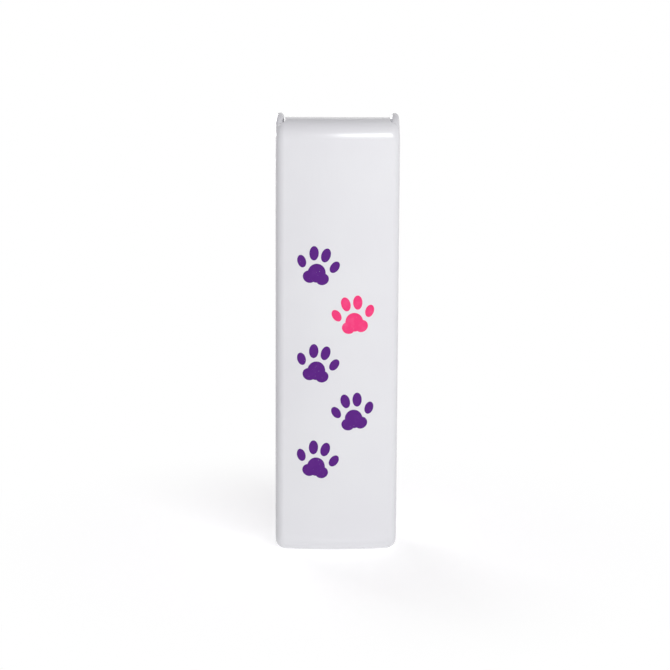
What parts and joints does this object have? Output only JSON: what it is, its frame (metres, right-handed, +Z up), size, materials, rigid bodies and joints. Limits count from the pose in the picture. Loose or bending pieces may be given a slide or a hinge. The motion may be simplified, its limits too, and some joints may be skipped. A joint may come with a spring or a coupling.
{
  "type": "folding pet hair roller",
  "caption": "Slim white folding pet hair roller, closed and standing on its free end, with a washable blue gel roller inside and a hinge that opens it into a handle",
  "frame": {"origin": "on the standing face, under the middle of the closed case's box", "axes": "X across the width, Y from the printed front (-Y) to the back (+Y), Z up the length to the hinge"},
  "size_m": [0.035, 0.03, 0.1261],
  "materials": {
    "shell_white": "gloss moulded",
    "fitting_white": "satin moulded",
    "core_white": "satin extruded",
    "blue_gel": "tacky translucent",
    "washer_nylon": "natural",
    "steel": "drawn wire",
    "print_purple": "pad printed ink",
    "print_pink": "pad printed ink"
  },
  "bodies": {
    "carrier": {"roller_tray": "shell_white", "hinge_knuckle": "fitting_white", "knuckle_screw_left": "steel", "knuckle_screw_right": "steel", "hinge_spacer_left": "fitting_white", "hinge_spacer_right": "fitting_white", "roller_axle": "steel", "axle_washer_outer": "washer_nylon", "axle_washer_inner": "washer_nylon"},
    "handle": {"handle_shell": "shell_white", "hinge_pin": "steel", "hinge_cap_left": "shell_white", "hinge_cap_right": "shell_white"},
    "roller": {"roller_core": "core_white", "gel_sleeve": "blue_gel", "roller_end_cap_outer": "fitting_white", "roller_end_cap_inner": "fitting_white"}
  },
  "joints": [
    {"name": "case_fold", "type": "hinge", "parent": "carrier", "child": "handle", "pos_m": [0, -0.0025, 0.1181], "axis": [1, 0, 0], "range_deg": [0, 180]},
    {"name": "roller_spin", "type": "hinge", "parent": "carrier", "child": "roller", "pos_m": [0, 0, 0.0548], "axis": [0, 0, 1], "continuous": true}
  ]
}
